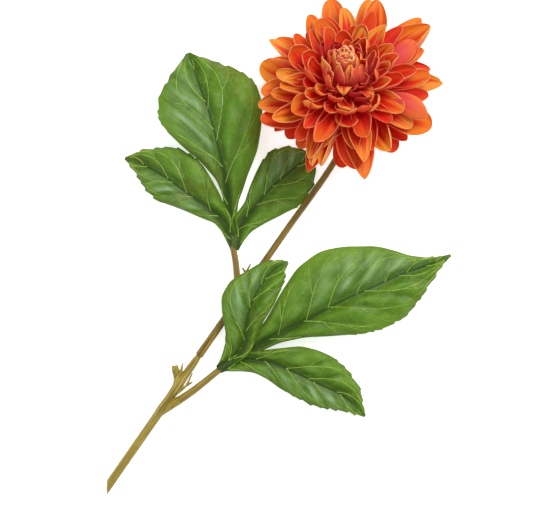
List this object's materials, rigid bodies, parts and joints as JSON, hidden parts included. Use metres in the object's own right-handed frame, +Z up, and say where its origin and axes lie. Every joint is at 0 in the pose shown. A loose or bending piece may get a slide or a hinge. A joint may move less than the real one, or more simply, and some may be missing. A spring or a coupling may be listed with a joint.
{
  "type": "dahlia flower",
  "caption": "Cut dahlia stem lying flat: a full double bloom with a closed central bud, serrated compound leaves on side stalks, and small side twigs.",
  "frame": {"origin": "on the surface the flower lies on, under the middle of its bounding box", "axes": "+Z up from the surface; seen from above, the cut end is at -X -Y and the stem runs towards +X +Y to the bloom"},
  "size_m": [0.2232, 0.3192, 0.0662],
  "materials": {
    "petals": "matte printed cloth, dark red roots to orange and yellow tips",
    "bud": "matte printed cloth, yellow green to peach",
    "calyx": "satin green",
    "leaf": "satin embossed cloth, green with paler veins",
    "lower_stem": "satin olive brown",
    "upper_stem": "satin brown",
    "leaf_stalk": "satin brown"
  },
  "bodies": {
    "root": {"bloom_petals": "petals", "bloom_heart": "bud", "calyx": "calyx", "leaf_lower": "leaf", "leaf_upper": "leaf", "leaf_stalk_lower": "leaf_stalk", "leaf_stalk_upper": "leaf_stalk", "stem_lower": "lower_stem", "stem_upper": "upper_stem"}
  },
  "joints": []
}
